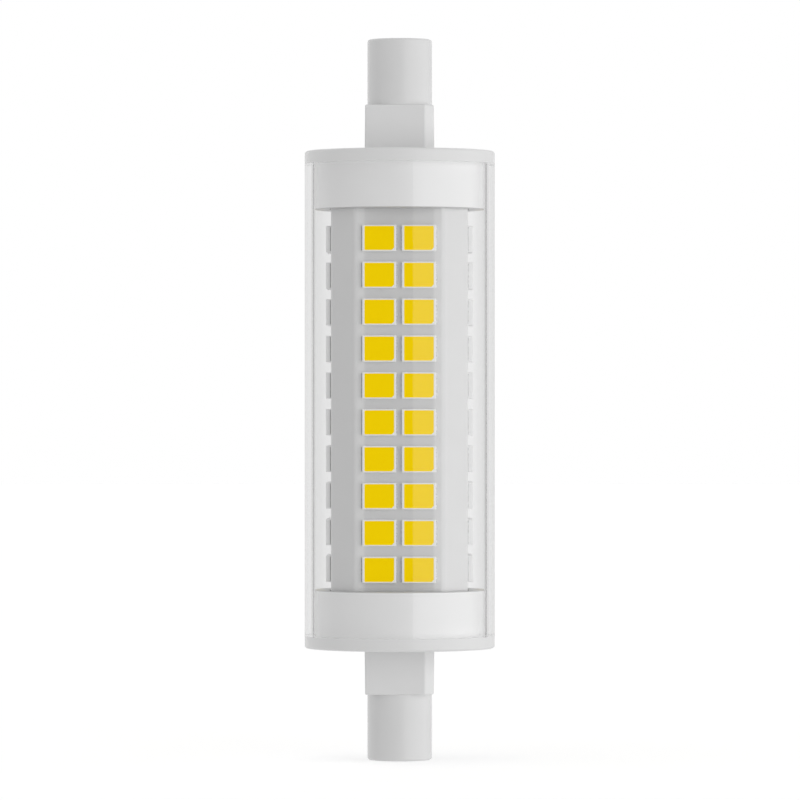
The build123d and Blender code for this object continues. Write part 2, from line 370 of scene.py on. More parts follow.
glassLook = {
    "clear": 0.99,
    "blotch": 6.0,
    "clouding": 0.004,
    "slantShade": 0.89,  # painted shade: both walls are tinted darker where they are met at a slant
    "slantFrom": 0.35,
    "slantTo": 0.65,
    "edgeLineShade": 0.30,  # and the inner wall much darker, painted shade that draws the dark line inside each side
    "edgeFrom": 0.72,
    "edgeTo": 0.90,
    "innerReach": 9.85,
    "innerTint": 0.56,  # painted shade on what the inner wall throws back, darkening its reflections
    "bend": 1.02,  # the thin wall hardly moves what is seen through it
    "shine": 0.9,  # of the outer wall
    "shade": 0.99,
}


def clearGlass():
    material, tree, shader, place = startMaterial("clearGlass")
    look = glassLook
    shader.inputs["Transmission Weight"].default_value = 1
    shader.inputs["Roughness"].default_value = 0
    shader.inputs["IOR"].default_value = look["bend"]
    shader.inputs["Coat Roughness"].default_value = 0
    inner = calc(tree, "LESS_THAN", axisDistance(tree, place), look["innerReach"] * mm)
    slant = tree.nodes.new("ShaderNodeLayerWeight").outputs["Facing"]

    # faint clouds, then painted shade: darker at a slant, and darker still on the inner wall
    darkest, lightest = look["clear"] - look["clouding"], look["clear"] + look["clouding"]
    clear = mottle(tree, cloudNoise(tree, place, look["blotch"]), grey(darkest), grey(lightest))
    slantShade = blend(tree, fade(tree, slant, look["slantFrom"], look["slantTo"]), clear, look["slantShade"])
    edging = product(tree, inner, fade(tree, slant, look["edgeFrom"], look["edgeTo"]))
    tree.links.new(blend(tree, edging, slantShade, look["edgeLineShade"]), shader.inputs["Base Color"])
    # painted shade: the inner wall's reflections are tinted darker
    tree.links.new(blend(tree, inner, 1.0, look["innerTint"]), shader.inputs["Specular Tint"])
    polish = fade(tree, inner, 0, 1, look["shine"], 0, smooth=False)
    tree.links.new(polish, shader.inputs["Coat Weight"])

    # light on its way to the inner pieces passes straight through
    path = tree.nodes.new("ShaderNodeLightPath").outputs
    passing = calc(tree, "MAXIMUM", path["Is Shadow Ray"], path["Is Diffuse Ray"])
    through = tree.nodes.new("ShaderNodeBsdfTransparent")
    through.inputs["Color"].default_value = (*grey(look["shade"]), 1)
    mixToOutput(tree, passing, shader.outputs["BSDF"], through.outputs["BSDF"])
    return material


capLook = {
    # painted shade on the collars' end faces, painted light on the collars and more at their foot
    "collarEndShade": 0.60,
    "collar": 0.945,
    "collarFootLight": 1.0,
    "flange": 0.835,
    "pin": 0.805,
    "endDepth": 0.1,
    "footRise": 0.55,
    "pinTop": 7.19,
    "sharp": 0.004,  # how far a sudden change of white spreads
    "blotch": 3.0,
    "clouding": (0.99, 1.0),
    "patch": 0.8,
    "rough": (0.30, 0.34),
    "bend": 1.52,
    "rimFrom": 0.60,  # extra gloss where a wall turns away
    "rimTo": 0.86,
    "rimTilt": 0.5,  # on walls that look up or down by less than this
    "rimBend": 2.0,
    "rimRough": 0.15,
    "grain": 0.12,
    "bump": 0.0002,
}


def whiteCap():
    material, tree, shader, place = startMaterial("whiteCap")
    look = capLook
    # painted light and shade: the collars are painted lighter than the flanges, lighter still at their
    # foot where the flange's shade falls, and darker on their end faces, which are in shade; the pins
    # are a little darker than the flanges
    half = lampLength / 2
    fromMiddle = calc(tree, "ABSOLUTE", calc(tree, "SUBTRACT", split(tree, place)["Z"], half * mm))
    zones = (
        ("collar", capTop - look["endDepth"], look["sharp"]),
        ("collarFootLight", tubeLow.z, look["footRise"]),
        ("flange", tubeLow.z - look["sharp"], look["sharp"]),
        ("pin", look["pinTop"], look["sharp"]),
    )
    borders = [(half - low - spread, half - low, look[zone]) for zone, low, spread in zones]
    zoneWhites(tree, place, shader, look, fromMiddle, look["collarEndShade"], borders)
    patchGloss(tree, place, shader, look)
    shader.inputs["IOR"].default_value = look["bend"]

    # extra gloss on upright walls alone, not on the level ends
    slant = tree.nodes.new("ShaderNodeLayerWeight").outputs["Facing"]
    normal = tree.nodes.new("ShaderNodeNewGeometry").outputs["Normal"]
    upright = calc(tree, "LESS_THAN", calc(tree, "ABSOLUTE", split(tree, normal)["Z"]), look["rimTilt"])
    rim = fade(tree, slant, look["rimFrom"], look["rimTo"], 0.0, upright)
    tree.links.new(rim, shader.inputs["Coat Weight"])
    shader.inputs["Coat IOR"].default_value = look["rimBend"]
    shader.inputs["Coat Roughness"].default_value = look["rimRough"]
    grainBump(tree, place, shader, look)
    return material


sheetLook = {
    "columnShade": 0.74,  # painted shade: the coat is greyer over the LED columns, where the packages shade it
    # painted light on the margins beside the columns
    "marginLight": 0.825,
    "bevel": 0.785,
    "columnShadeEdge": 3.70,
    "foldEdge": 4.75,
    "spread": 0.15,
    "blotch": 2.0,
    "clouding": (0.993, 1.007),
    "patch": 0.5,
    "rough": (0.28, 0.34),
    "bend": 1.6,
    "grain": 0.25,
    "bump": 0.0006,
}


def whiteSheet():
    material, tree, shader, place = startMaterial("whiteSheet")
    look = sheetLook
    x, y, z = split(tree, place)
    aside = calc(tree, "MINIMUM", calc(tree, "ABSOLUTE", x), calc(tree, "ABSOLUTE", y))
    # painted shade over the LED columns and painted light on the margins beside them, then the bevels'
    # plain white
    borders = []
    for border, zone in (("columnShadeEdge", "marginLight"), ("foldEdge", "bevel")):
        borders.append((look[border] - look["spread"], look[border] + look["spread"], look[zone]))
    zoneWhites(tree, place, shader, look, aside, look["columnShade"], borders)
    patchGloss(tree, place, shader, look)
    shader.inputs["IOR"].default_value = look["bend"]
    grainBump(tree, place, shader, look)
    return material


yellowLook = {
    "dark": (0.80, 0.55, 0.0),
    "light": (0.84, 0.60, 0.0),
    "grain": 0.06,
    "grainDetail": 4.0,
    "paintedGlow": 0.30,
    "patch": 0.4,
    "rough": (0.45, 0.6),
    "gloss": 0.03,
    "bump": 0.004,
}


def ledYellow():
    material, tree, shader, place = startMaterial("ledYellow")
    look = yellowLook
    grains = cloudNoise(tree, place, look["grain"], look["grainDetail"])
    # painted light: the unlit fill glows a little, brighter than the light on it makes it
    for socketName in ("Base Color", "Emission Color"):
        tree.links.new(mottle(tree, grains, look["dark"], look["light"]), shader.inputs[socketName])
    shader.inputs["Emission Strength"].default_value = look["paintedGlow"]
    patchGloss(tree, place, shader, look)
    shader.inputs["Specular IOR Level"].default_value = look["gloss"]
    bumpFrom(tree, grains, shader, look["bump"])
    return material


metalLook = {
    "blotch": 0.9,
    "dark": (0.68, 0.65, 0.60),
    "light": (0.75, 0.73, 0.69),
    "patch": 0.3,
    "rough": (0.24, 0.36),
    "ring": 0.6,
    "waver": 0.4,
    "bump": 0.004,
}


def contactMetal():
    material, tree, shader, place = startMaterial("contactMetal")
    look = metalLook
    shader.inputs["Metallic"].default_value = 1
    blotchColour(tree, place, shader, look)
    patchGloss(tree, place, shader, look)
    turned = tree.nodes.new("ShaderNodeTexWave")  # fine rings from the lathe
    turned.wave_type = "RINGS"
    turned.rings_direction = "Z"
    turned.inputs["Scale"].default_value = 1 / (look["ring"] * mm)
    turned.inputs["Distortion"].default_value = look["waver"]
    tree.links.new(place, turned.inputs["Vector"])
    bumpFrom(tree, turned.outputs["Fac"], shader, look["bump"])
    return material


laminateLook = {
    "blotch": 1.5,
    "dark": (0.035, 0.19, 0.075),
    "light": (0.055, 0.24, 0.10),
    "patch": 0.6,
    "rough": (0.3, 0.42),
    "thread": 1.6,
    "bump": 0.006,
}


def driverLaminate():
    material, tree, shader, place = startMaterial("driverLaminate")
    look = laminateLook
    blotchColour(tree, place, shader, look)
    patchGloss(tree, place, shader, look)
    weave = []
    for direction in ("X", "Z"):
        thread = tree.nodes.new("ShaderNodeTexWave")
        thread.bands_direction = direction
        thread.inputs["Scale"].default_value = 1 / (look["thread"] * mm)
        tree.links.new(place, thread.inputs["Vector"])
        weave.append(thread.outputs["Fac"])
    bumpFrom(tree, calc(tree, "MAXIMUM", *weave), shader, look["bump"])
    return material


plainLooks = {
    "ledWhite": {
        "blotch": 0.7,
        "dark": grey(0.95),
        "light": grey(0.97),
        "patch": 0.3,
        "rough": (0.35, 0.45),
        "grain": 0.08,
        "bump": 0.0003,
    },
    "solderTin": {
        "metal": 0.42,
        "blotch": 0.2,
        "dark": grey(0.64),
        "light": grey(0.70),
        "patch": 0.1,
        "rough": (0.24, 0.32),
    },
    "blackPackage": {
        "blotch": 0.5,
        "dark": grey(0.015),
        "light": grey(0.028),
        "patch": 0.2,
        "rough": (0.5, 0.68),
        "grain": 0.07,
        "bump": 0.006,
    },
    "capacitorCan": {
        "blotch": 2.5,
        "dark": (0.085, 0.085, 0.115),
        "light": (0.115, 0.115, 0.145),
        "patch": 0.8,
        "rough": (0.28, 0.4),
        "grain": 0.5,
        "bump": 0.004,
    },
    "resistorCoat": {
        "blotch": 0.6,
        "dark": (0.18, 0.34, 0.40),
        "light": (0.23, 0.39, 0.45),
        "patch": 0.3,
        "rough": (0.5, 0.65),
        "grain": 0.15,
        "bump": 0.008,
    },
    "wireInsulation": {
        "blotch": 0.8,
        "dark": (0.50, 0.025, 0.025),
        "light": (0.58, 0.04, 0.035),
        "patch": 0.4,
        "rough": (0.35, 0.45),
        "grain": 0.2,
        "bump": 0.003,
    },
}


def plainFinish(name):
    material, tree, shader, place = startMaterial(name)
    look = plainLooks[name]
    shader.inputs["Metallic"].default_value = look.get("metal", 0)
    blotchColour(tree, place, shader, look)
    patchGloss(tree, place, shader, look)
    if "bump" in look:
        grainBump(tree, place, shader, look)
    return material


finishes = {
    "clear_glass": clearGlass(),
    "white_cap": whiteCap(),
    "white_sheet": whiteSheet(),
    "led_white": plainFinish("ledWhite"),
    "led_yellow": ledYellow(),
    "contact_metal": contactMetal(),
    "driver_laminate": driverLaminate(),
    "black_package": plainFinish("blackPackage"),
    "capacitor_can": plainFinish("capacitorCan"),
    "resistor_coat": plainFinish("resistorCoat"),
    "wire_insulation": plainFinish("wireInsulation"),
    "solder": plainFinish("solderTin"),  # worn by pieces in the contact metal's slot
}
print("finishes made:", len(finishes))


# Geometry Nodes trees: named inputs at the start, real meshes with a finish at the end


def startTree(name, inputs):
    # returns the new tree and its inputs' identifiers by name
    tree = bpy.data.node_groups.new(name, "GeometryNodeTree")
    tree.is_modifier = True
    tree.interface.new_socket(name="Geometry", in_out="OUTPUT", socket_type="NodeSocketGeometry")
    identifiers = {}
    for socketName, kind in inputs.items():
        socket = tree.interface.new_socket(name=socketName, in_out="INPUT", socket_type=kind)
        identifiers[socketName] = socket.identifier
    return tree, identifiers


def finishTree(tree, geometry, finishInput):
    add, join = tree.nodes.new, tree.links.new
    real = add("GeometryNodeRealizeInstances")
    join(geometry, real.inputs["Geometry"])
    finish = add("GeometryNodeSetMaterial")
    join(real.outputs["Geometry"], finish.inputs["Geometry"])
    join(finishInput, finish.inputs["Material"])
    join(finish.outputs["Geometry"], add("NodeGroupOutput").inputs["Geometry"])


def treeMesh(tree, identifiers, values):
    # the plain mesh that a tree makes from these values
    worker = newObject(tree.name + "Worker", bpy.data.meshes.new(tree.name + "Worker"))
    modifier = worker.modifiers.new(tree.name, "NODES")
    modifier.node_group = tree
    for socketName, value in values.items():
        modifier[identifiers[socketName]] = value
    return plainMesh(worker)


# Clear tube, by Geometry Nodes: a rounded wall section carried round a circle

tubeSizes = {
    "wall": 0.87,
    "edgeRadius": 0.02,
    "edgeSteps": 3,
    "seatGap": 0.01,
    "segments": 360,
    "sharpAngle": 10.0,
}


def tubeTree():
    tree, identifiers = startTree("tubeWall", {
        "Wall Radius": "NodeSocketFloat",
        "Wall": "NodeSocketFloat",
        "Length": "NodeSocketFloat",
        "Middle Height": "NodeSocketFloat",
        "Edge Radius": "NodeSocketFloat",
        "Edge Steps": "NodeSocketInt",
        "Segments": "NodeSocketInt",
        "Finish": "NodeSocketMaterial",
    })
    add, join = tree.nodes.new, tree.links.new
    sizes = add("NodeGroupInput").outputs
    circle = add("GeometryNodeCurvePrimitiveCircle")
    join(sizes["Segments"], circle.inputs["Resolution"])
    join(sizes["Wall Radius"], circle.inputs["Radius"])
    section = add("GeometryNodeCurvePrimitiveQuadrilateral")
    join(sizes["Wall"], section.inputs["Width"])
    join(sizes["Length"], section.inputs["Height"])
    eased = add("GeometryNodeFilletCurve")
    eased.mode = "POLY"
    join(section.outputs["Curve"], eased.inputs["Curve"])
    join(sizes["Edge Radius"], eased.inputs["Radius"])
    join(sizes["Edge Steps"], eased.inputs["Count"])
    wall = add("GeometryNodeCurveToMesh")
    join(circle.outputs["Curve"], wall.inputs["Curve"])
    join(eased.outputs["Curve"], wall.inputs["Profile Curve"])
    lift = add("ShaderNodeCombineXYZ")
    join(sizes["Middle Height"], lift.inputs["Z"])
    raised = add("GeometryNodeTransform")
    join(wall.outputs["Mesh"], raised.inputs["Geometry"])
    join(lift.outputs["Vector"], raised.inputs["Translation"])
    finishTree(tree, raised.outputs["Geometry"], sizes["Finish"])
    return tree, identifiers


def clearTube():
    size = tubeSizes
    wall = treeMesh(*tubeTree(), {
        "Wall Radius": (tubeHigh.x - size["wall"] / 2) * mm,
        "Wall": size["wall"] * mm,
        "Length": (tubeHigh.z - tubeLow.z - 2 * size["seatGap"]) * mm,
        "Middle Height": (tubeHigh.z + tubeLow.z) / 2 * mm,
        "Edge Radius": size["edgeRadius"] * mm,
        "Edge Steps": size["edgeSteps"],
        "Segments": size["segments"],
        "Finish": finishes["clear_glass"],
    })
    bm = bmesh.new()
    bm.from_mesh(wall)
    bmesh.ops.remove_doubles(bm, verts=bm.verts, dist=samePlace)
    mesh = finishMesh("clearTube", bm, size["sharpAngle"])
    return placePiece("clearTube", mesh, "clear_glass", "clear_tube")


tube = clearTube()
print("tube:", len(tube.data.polygons), "faces")


# End caps: one moulding, skinned ring by ring from the recess round to the pin again

capSizes = {
    "segments": 180,
    "hold": 0.03,  # flat shading beside each rounded edge
    "pinRadius": 3.5,
    "pinLength": 7.2,
    "pinEdge": 0.3,
    "recessRadius": 1.8,
    "recessDepth": 1.55,
    "recessEdge": 0.05,
    "seatRadius": 1.6,
    "seatDepth": 2.35,
    "shankRadius": 0.8,
    "webTop": 4.35,
    "wireRadius": 1.6,
    "shoulderWidth": 7.5,
    "shoulderDraft": 0.64,
    "shoulderBevel": 0.97,
    "shoulderCorner": 0.2,
    "bevelCorner": 0.4,
    "leastCorner": 0.03,
    "shoulderEdge": 0.15,
    "shoulderLand": 1.0,
    "flangeThickness": 1.35,
    "flangeEdge": 0.3,
    "flangeInnerEdge": 0.02,
    "flangeLand": 1.0,
    "collarRadius": 9.25,
    "collarEdge": 0.14,
    "collarLand": 0.25,
    "socketRise": 0.5,
    "socketClearance": 0.1,
    "slotWidth": 5.2,
    "slotThickness": 1.2,
    "slotDepth": 1.5,
    "slotPlace": 2.8,
}

sleeveSizes = {
    "thickness": 0.6,
    "cornerCut": 2.58,
    "bendRadius": 0.8,
    "hold": 0.03,
    "seamGap": 0.3,
    "seamAngle": 45.0,
}


def shoulderOutline(inset):
    # a square with its front-right and rear-left corners bevelled
    size = capSizes
    half = size["shoulderWidth"] / 2 - inset
    cut = size["shoulderBevel"] - cutGrowth * inset
    corner = max(size["shoulderCorner"] - inset, size["leastCorner"])
    eased = max(size["bevelCorner"] - inset, size["leastCorner"])
    return roundCorners([
        (half, half, corner),
        (-half + cut, half, eased),
        (-half, half - cut, eased),
        (-half, -half, corner),
        (half - cut, -half, eased),
        (half, -half + cut, eased),
    ], closed=True)


def sleeveOutline(outset, hold=0.0):
    # the eight-sided outline of the folded sheet
    half = sleeveHigh.x + outset
    cut = sleeveSizes["cornerCut"] + cutGrowth * outset
    bend = sleeveSizes["bendRadius"] + outset
    corners = []
    for turn in range(4):
        quarter = Matrix.Rotation(math.radians(90 * turn), 2)
        for point in ((half, half - cut), (half - cut, half)):
            corners.append((*(quarter @ Vector(point)), bend))
    return roundCorners(corners, closed=True, hold=hold)


def capRings():
    size = capSizes
    flangeTop = tubeLow.z
    flangeBase = flangeTop - size["flangeThickness"]
    socketFloor = flangeTop + size["socketRise"]
    socket = sleeveOutline(size["socketClearance"])
    angles = ringAngles(size["segments"], shoulderOutline(0), socket)
    rings = []
    pinPath = [
        (size["pinRadius"], size["pinLength"], 0),
        (size["pinRadius"], 0, size["pinEdge"]),
        (size["recessRadius"], 0, size["recessEdge"]),
        (size["recessRadius"], size["recessDepth"], 0),
        (size["seatRadius"], size["recessDepth"], 0),
        (size["seatRadius"], size["seatDepth"], 0),
        (size["shankRadius"], size["seatDepth"], 0),
        (size["shankRadius"], size["webTop"], 0),
        (size["wireRadius"], size["webTop"], 0),
        (size["wireRadius"], socketFloor, 0),
    ]
    for radius, height in roundCorners(pinPath, closed=False, hold=size["hold"]):
        rings.append(circleRing(radius, height, angles))
    for height in (socketFloor, capTop):
        rings.append(outlineRing(socket, height, angles))
    collarPath = [
        (size["collarRadius"] - size["collarLand"], capTop, 0),
        (size["collarRadius"], capTop, size["collarEdge"]),
        (size["collarRadius"], flangeTop, 0),
        (tubeHigh.x, flangeTop, size["flangeInnerEdge"]),
        (tubeHigh.x, flangeBase, size["flangeEdge"]),
        (tubeHigh.x - size["flangeLand"], flangeBase, 0),
    ]
    for radius, height in roundCorners(collarPath, closed=False, hold=size["hold"]):
        rings.append(circleRing(radius, height, angles))
    lean = math.tan(math.radians(size["shoulderDraft"])) * (flangeBase - size["pinLength"])
    shoulderPath = [
        (0, flangeBase, 0),
        (lean, size["pinLength"], size["shoulderEdge"]),
        (lean + size["shoulderLand"], size["pinLength"], 0),
    ]
    # the last two points lie on the flat that leads to the pin
    for inset, height in roundCorners(shoulderPath, closed=False, hold=size["hold"])[:-2]:
        rings.append(outlineRing(shoulderOutline(inset), height, angles))
    return rings


def endCapMesh():
    # the skin, with the driver board's slot cut into the socket floor
    size = capSizes
    floor = tubeLow.z + size["socketRise"]
    worker = newObject("capWorker", skinRings("capWorker", capRings(), closed=True))
    bm = bmesh.new()
    bmesh.ops.create_cube(bm, size=1)
    slot = Vector((size["slotWidth"], size["slotThickness"], 2 * size["slotDepth"]))
    bmesh.ops.scale(bm, vec=slot * mm, verts=bm.verts)
    bmesh.ops.translate(bm, vec=Vector((0, size["slotPlace"], floor)) * mm, verts=bm.verts)
    cutter = newObject("slotCutter", finishMesh("slotCutter", bm))
    cut = worker.modifiers.new("tongueSlot", "BOOLEAN")
    cut.operation = "DIFFERENCE"
    cut.solver = "EXACT"
    cut.object = cutter
    mesh = plainMesh(worker)
    bpy.data.objects.remove(cutter)
    return mesh


def endCap(name, mesh, node, flip):
    bm = bmesh.new()
    bm.from_mesh(mesh)
    if flip:  # the upper cap is the lower one mirrored about the lamp's middle
        for vert in bm.verts:
            vert.co.z = lampLength * mm - vert.co.z
    bmesh.ops.remove_doubles(bm, verts=bm.verts, dist=samePlace)
    return placePiece(name, finishMesh(name, bm), "white_cap", node)


capMesh = endCapMesh()
lowerCap = endCap("lowerEndCap", capMesh, "lower_end_cap", False)
endCap("upperEndCap", capMesh, "upper_end_cap", True)
print("end caps:", len(lowerCap.data.polygons), "faces each")


# Rivet contacts at the bottom of the recesses

contactSizes = {
    "segments": 96,
    "hold": 0.02,
    "headRadius": 1.55,
    "headEdge": 0.15,
    "headThickness": 0.8,
    "shankRadius": 0.75,
    "web": 2.0,
    "tailRadius": 1.15,
    "tailThickness": 0.4,
    "tailEdge": 0.12,
}


def rivetContact(name, node, flip):
    size = contactSizes
    face = nodeBox("lower_contact")[0].z
    headBack = face + size["headThickness"]
    tailBase = headBack + size["web"]
    tailTop = tailBase + size["tailThickness"]
    path = roundCorners([
        (0, face, 0),
        (size["headRadius"], face, size["headEdge"]),
        (size["headRadius"], headBack, 0),
        (size["shankRadius"], headBack, 0),
        (size["shankRadius"], tailBase, 0),
        (size["tailRadius"], tailBase, 0),
        (size["tailRadius"], tailTop, size["tailEdge"]),
        (0, tailTop, 0),
    ], closed=False, hold=size["hold"])
    angles = ringAngles(size["segments"])
    rings = [circleRing(r, lampLength - z if flip else z, angles) for r, z in path]
    return placePiece(name, skinRings(name, rings), "contact_metal", node)


lowerContact = rivetContact("lowerContact", "lower_contact", False)
rivetContact("upperContact", "upper_contact", True)
print("contacts:", len(lowerContact.data.polygons), "faces each")


# LED sheet: one coated sheet folded into eight sides, with an open seam at the rear


def seamFirst(outline, gapEnd, gapStart):
    # the outline's points in order from one lip of the seam to the other
    begin = math.atan2(gapEnd.y, gapEnd.x)
    turned = sorted(outline, key=lambda p: (math.atan2(p.y, p.x) - begin) % (2 * math.pi))
    return [gapEnd] + turned + [gapStart]


def ledSleeve():
    size = sleeveSizes
    seam = math.radians(size["seamAngle"])
    across = Vector((math.cos(seam), math.sin(seam)))
    along = Vector((-across.y, across.x))
    walls = []
    for outset in (0, -size["thickness"]):
        cut = size["cornerCut"] + cutGrowth * outset
        flat = (2 * (sleeveHigh.x + outset) - cut) / math.sqrt(2)
        lips = [across * flat + along * side * size["seamGap"] / 2 for side in (1, -1)]
        walls.append(seamFirst(sleeveOutline(outset, size["hold"]), *lips))
    section = walls[0] + walls[1][::-1]
    bm = bmesh.new()
    levels = []
    for height in (sleeveLow.z, sleeveHigh.z):
        levels.append([bm.verts.new(Vector((p.x, p.y, height)) * mm) for p in section])
    wallFaces(bm, *levels)
    count = len(section)
    for level in levels:  # the cut ends of the sheet
        for i in range(count // 2 - 1):
            bm.faces.new((level[i], level[i + 1], level[count - 2 - i], level[count - 1 - i]))
    return placePiece("ledSleeve", finishMesh("ledSleeve", bm), "white_sheet", "led_board")


sleeve = ledSleeve()
print("LED sleeve:", len(sleeve.data.polygons), "faces")


# LED packages, their yellow fill and their solder, by Geometry Nodes: rows and columns on each wide face

ledSizes = {
    "length": 3.65,
    "width": 2.83,
    "corner": 0.08,
    "cornerStep": 30.0,
    "edge": 0.06,
    "edgeSteps": 3,
    "windowLength": 3.165,
    "windowWidth": 2.57,
    "windowCorner": 0.10,
    "windowNotch": 0.25,
    "rim": 0.02,
    "cupDepth": 0.3,
    "cupSlope": 20.0,
    "dip": 0.015,  # the fill sags by this much
    "dipEdge": 0.15,  # most of it so close to the window's edge
    "dipShare": 0.7,
    "dipFlat": 0.6,  # and all of it from here on
    "columns": 2,
    "rows": 10,
    "sharpAngle": 35.0,
    "solderOut": 0.11,
    "solderUp": 0.11,
    "solderSteps": 4,
    "solderSpare": 0.12,  # left bare at both ends of each fillet
    "solderSink": 0.04,  # into the package's end
}
ledHeight = -ledLow.y - sleeveHigh.x
ledSides = {"front": 0, "right": 90, "rear": 180, "left": 270}


def windowOutline(outset):
    # the fill's window, with the polarity corner cut off at its lower right
    size = ledSizes
    halfLength = size["windowLength"] / 2 + outset
    halfWidth = size["windowWidth"] / 2 + outset
    cut = size["windowNotch"] + cutGrowth * outset
    corner = size["windowCorner"]
    return roundCorners([
        (halfLength, halfWidth, corner),
        (-halfLength, halfWidth, corner),
        (-halfLength, -halfWidth, corner),
        (halfLength - cut, -halfWidth, corner / 2),
        (halfLength, -halfWidth + cut, corner / 2),
    ], closed=True, stepAngle=size["cornerStep"])


def bodyOutline(inset):
    size = ledSizes
    half = Vector((size["length"] / 2 - inset, size["width"] / 2 - inset))
    signs = ((1, 1), (-1, 1), (-1, -1), (1, -1))
    corners = [(half.x * x, half.y * y, size["corner"]) for x, y in signs]
    return roundCorners(corners, closed=True, stepAngle=size["cornerStep"])


ledAngles = ringAngles(4, bodyOutline(0), windowOutline(0))
cupTaper = ledSizes["cupDepth"] * math.tan(math.radians(ledSizes["cupSlope"]))


def ledRings(levels):
    return [outlineRing(outline, height, ledAngles) for outline, height in levels]


def packageMesh():
    size = ledSizes
    shoulder = ledHeight - size["edge"]
    levels = [(bodyOutline(0), 0), (bodyOutline(0), shoulder)]
    for k in range(1, size["edgeSteps"] + 1):
        slope = math.radians(90 * k / size["edgeSteps"])
        inset = size["edge"] * (1 - math.cos(slope))
        levels.append((bodyOutline(inset), shoulder + size["edge"] * math.sin(slope)))
    levels.append((windowOutline(size["rim"]), ledHeight))
    levels.append((windowOutline(0), ledHeight - size["rim"]))
    levels.append((windowOutline(-cupTaper), ledHeight - size["cupDepth"]))
    return skinRings("ledPackage", ledRings(levels), sharpAngle=size["sharpAngle"])


def fillMesh():
    size = ledSizes
    top = ledHeight - size["rim"]
    levels = [
        (windowOutline(-cupTaper), ledHeight - size["cupDepth"]),
        (windowOutline(0), top),
        (windowOutline(-size["dipEdge"]), top - size["dip"] * size["dipShare"]),
        (windowOutline(-size["dipFlat"]), top - size["dip"]),
    ]
    middle = circleRing(0, top - size["dip"], ledAngles)
    return skinRings("ledFill", ledRings(levels) + [middle], sharpAngle=size["sharpAngle"])


def solderMesh():
    # a hollow fillet at each end of the package
    size = ledSizes
    bm = bmesh.new()
    half = size["width"] / 2 - size["solderSpare"]
    section = [(-size["solderSink"], 0), (-size["solderSink"], size["solderUp"])]
    for k in range(size["solderSteps"] + 1):
        slope = math.radians(90 * k / size["solderSteps"])
        out = size["solderOut"] * (1 - math.cos(slope))
        section.append((out, size["solderUp"] * (1 - math.sin(slope))))
    for side in (1, -1):
        ends = []
        for along in (-half, half):
            points = [Vector((side * (size["length"] / 2 + out), along, up)) for out, up in section]
            ends.append([bm.verts.new(p * mm) for p in points])
        wallFaces(bm, *ends)
        for end in ends:
            for i in range(1, len(section) - 1):
                bm.faces.new((end[0], end[i], end[i + 1]))
    return finishMesh("ledSolder", bm, size["sharpAngle"])


def ledTree():
    tree, identifiers = startTree("ledRows", {
        "Part": "NodeSocketObject",
        "Columns": "NodeSocketInt",
        "Rows": "NodeSocketInt",
        "Span Across": "NodeSocketFloat",
        "Span Along": "NodeSocketFloat",
        "Face Distance": "NodeSocketFloat",
        "Middle Height": "NodeSocketFloat",
        "Side Turn": "NodeSocketFloat",
        "Finish": "NodeSocketMaterial",
    })
    add, join = tree.nodes.new, tree.links.new
    sizes = add("NodeGroupInput").outputs
    places = add("GeometryNodeMeshGrid")
    join(sizes["Span Across"], places.inputs["Size X"])
    join(sizes["Span Along"], places.inputs["Size Y"])
    join(sizes["Columns"], places.inputs["Vertices X"])
    join(sizes["Rows"], places.inputs["Vertices Y"])
    part = add("GeometryNodeObjectInfo")
    part.inputs["As Instance"].default_value = True
    join(sizes["Part"], part.inputs["Object"])
    fitted = add("GeometryNodeInstanceOnPoints")
    join(places.outputs["Mesh"], fitted.inputs["Points"])
    join(part.outputs["Geometry"], fitted.inputs["Instance"])
    # stand the flat rows up on the front face, then turn them to their own side
    shift = add("ShaderNodeCombineXYZ")
    join(calc(tree, "MULTIPLY", sizes["Face Distance"], -1), shift.inputs["Y"])
    join(sizes["Middle Height"], shift.inputs["Z"])
    stood = add("GeometryNodeTransform")
    stood.inputs["Rotation"].default_value = (math.pi / 2, 0, 0)
    join(fitted.outputs["Instances"], stood.inputs["Geometry"])
    join(shift.outputs["Vector"], stood.inputs["Translation"])
    turn = add("ShaderNodeCombineXYZ")
    join(sizes["Side Turn"], turn.inputs["Z"])
    turned = add("GeometryNodeTransform")
    join(stood.outputs["Geometry"], turned.inputs["Geometry"])
    join(turn.outputs["Vector"], turned.inputs["Rotation"])
    finishTree(tree, turned.outputs["Geometry"], sizes["Finish"])
    return tree, identifiers


rowTree, rowSockets = ledTree()


def ledRows(name, part, turn, slotName, *nodes, finish=None):
    size = ledSizes
    mesh = treeMesh(rowTree, rowSockets, {
        "Part": part,
        "Columns": size["columns"],
        "Rows": size["rows"],
        "Span Across": (ledHigh.x - ledLow.x - size["length"]) * mm,
        "Span Along": (ledHigh.z - ledLow.z - size["width"]) * mm,
        "Face Distance": sleeveHigh.x * mm,
        "Middle Height": (ledHigh.z + ledLow.z) / 2 * mm,
        "Side Turn": math.radians(turn),
        "Finish": finishes[finish or slotName],
    })
    return placePiece(name, mesh, slotName, *nodes, finish=finish)


package = newObject("packagePattern", packageMesh())
fill = newObject("fillPattern", fillMesh())
solder = newObject("solderPattern", solderMesh())
for side, turn in ledSides.items():
    ledRows(side + "LedHousings", package, turn, "led_white", side + "_led_housings")
    ledRows(side + "LedPhosphor", fill, turn, "led_yellow", side + "_led_phosphor")
    ledRows(side + "LedSolder", solder, turn, "contact_metal", finish="solder")
for pattern in (package, fill, solder):
    bpy.data.objects.remove(pattern)
print("LED rows on", len(ledSides), "sides")


# Pieces inside the sleeve keep their solids and get their finishes

for subpart in frame["record"]["subparts"]:
    piece = cadNodes[subpart["node"]]
    piece.data.materials.clear()
    piece.data.materials.append(finishes[subpart["material_slot"]])
print("inner pieces finished")


# Floor, studio light and camera

